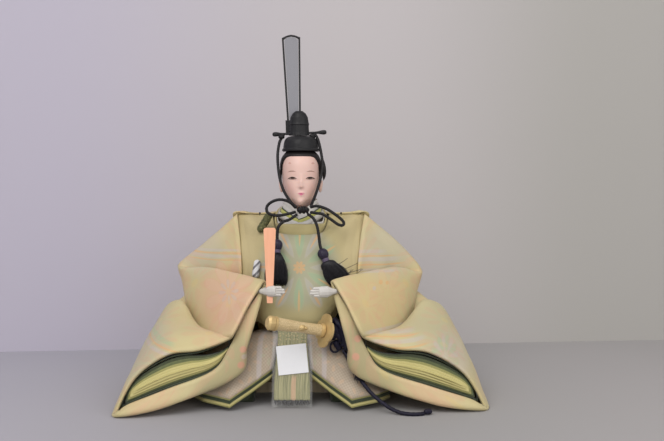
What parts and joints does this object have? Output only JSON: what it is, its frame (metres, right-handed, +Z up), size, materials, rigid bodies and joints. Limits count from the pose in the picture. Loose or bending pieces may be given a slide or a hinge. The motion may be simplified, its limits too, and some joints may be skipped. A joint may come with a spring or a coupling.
{
  "type": "seated court doll",
  "caption": "Seated court doll in a layered brocade robe with wide sleeves, a tall-tailed cap, a held baton, a sword, a sash and knotted cords.",
  "frame": {"origin": "on the surface the doll stands on, under the middle of the neck", "axes": "+Z up, the doll faces -Y, its right hand is at -X"},
  "size_m": [0.3049, 0.188, 0.3191],
  "materials": {
    "board_wood": "plain sawn wood",
    "straw": "bundled straw",
    "cream_silk": "cream brocade with pastel woven flowers",
    "olive_cream_silk": "olive-cream brocade",
    "white_silk": "plain silk",
    "lime_silk": "plain lime-yellow silk",
    "olive_braid": "braided cord",
    "black_lacquer": "black lacquered gauze",
    "wrapping_paper": "wrapped paper and wadding",
    "shell_white_skin": "smooth matt shell-white coat",
    "dark_green_silk": "plain silk",
    "green_silk": "plain silk",
    "grey_beige_weave": "small woven figure",
    "black_hair": "combed hair",
    "grey_gauze": "open gauze",
    "black_cord": "braided silk cord",
    "navy_cord": "braided silk cord",
    "baton_wood": "smooth salmon-coloured wood",
    "ivory_lacquer": "ivory lacquer",
    "pale_gold": "pale gilt metal",
    "olive_brocade": "olive brocade",
    "clear_film": "thin clear film",
    "white_card": "plain white card"
  },
  "bodies": {
    "seated_body": {"base_block": "board_wood", "straw_core": "straw", "robe_body": "cream_silk", "round_collar": "olive_cream_silk", "inner_collar_white": "white_silk", "inner_collar_lime": "lime_silk", "collar_toggle": "olive_braid", "chest_tab": "white_silk", "waist_belt": "black_lacquer", "arm_right": "wrapping_paper", "arm_left": "wrapping_paper", "hand_right": "shell_white_skin", "hand_left": "shell_white_skin", "sleeve_right": "cream_silk", "sleeve_left": "cream_silk", "sleeve_lining_right": "dark_green_silk", "sleeve_lining_left": "dark_green_silk", "cuff_green_right": "green_silk", "cuff_green_left": "green_silk", "cuff_lime_right": "lime_silk", "cuff_lime_left": "lime_silk", "trouser_panel_right": "grey_beige_weave", "trouser_panel_left": "grey_beige_weave", "trouser_lining_right": "dark_green_silk", "trouser_lining_left": "dark_green_silk", "trouser_underlayer_right": "lime_silk", "trouser_underlayer_left": "lime_silk", "knee_wadding_right": "wrapping_paper", "knee_wadding_left": "wrapping_paper", "navy_bundle": "navy_cord", "navy_cord": "navy_cord", "navy_cord_end": "navy_cord"},
    "neck": {"neck_stick": "board_wood"},
    "head": {"head": "shell_white_skin", "hair": "black_hair", "cap": "black_lacquer", "topknot_cover": "black_lacquer", "hairpin": "black_lacquer", "chin_cord_right": "black_cord", "chin_cord_left": "black_cord", "bow_knot": "black_cord", "bow_loop_right": "black_cord", "bow_loop_left": "black_cord", "cord_end_right": "black_cord", "cord_end_left": "black_cord"},
    "tail": {"tail_frame": "black_lacquer", "tail_gauze": "grey_gauze"},
    "tassel_right": {"tassel_right": "black_cord"},
    "tassel_left": {"tassel_left": "black_cord"},
    "baton": {"baton": "baton_wood"},
    "sword": {"sword_hilt": "ivory_lacquer", "sword_pommel": "pale_gold", "sword_guard": "pale_gold", "scabbard": "black_lacquer", "sword_cord_wrap": "navy_cord"},
    "sash": {"sash": "olive_brocade", "sash_fringe": "olive_brocade", "clear_sleeve": "clear_film", "blank_card": "white_card"}
  },
  "joints": [
    {"name": "head_lift", "type": "slide", "parent": "seated_body", "child": "neck", "axis": [0, 0, 1], "range_m": [0, 0.04]},
    {"name": "head_turn", "type": "hinge", "parent": "neck", "child": "head", "pos_m": [0, 0, 0.15], "axis": [0, 0, 1], "range_deg": [-4, 4]},
    {"name": "tail_slide", "type": "slide", "parent": "head", "child": "tail", "axis": [-0.035, 0, 0.9994], "range_m": [0, 0.011]},
    {"name": "tassel_right_swing", "type": "hinge", "parent": "head", "child": "tassel_right", "pos_m": [-0.0188, -0.0415, 0.137], "axis": [-1, 0, 0], "range_deg": [0, 10]},
    {"name": "tassel_left_swing", "type": "hinge", "parent": "head", "child": "tassel_left", "pos_m": [0.0186, -0.042, 0.129], "axis": [-1, 0, 0], "range_deg": [0, 8]},
    {"name": "baton_slide", "type": "slide", "parent": "seated_body", "child": "baton", "axis": [0, 0, 1], "range_m": [0, 0.03]},
    {"name": "sword_slide", "type": "slide", "parent": "seated_body", "child": "sword", "axis": [-0.8009, -0.5606, 0.2102], "range_m": [0, 0.03]},
    {"name": "sash_swing", "type": "hinge", "parent": "seated_body", "child": "sash", "pos_m": [-0.005, -0.0615, 0.0632], "axis": [-1, 0, 0], "range_deg": [0, 35]}
  ]
}
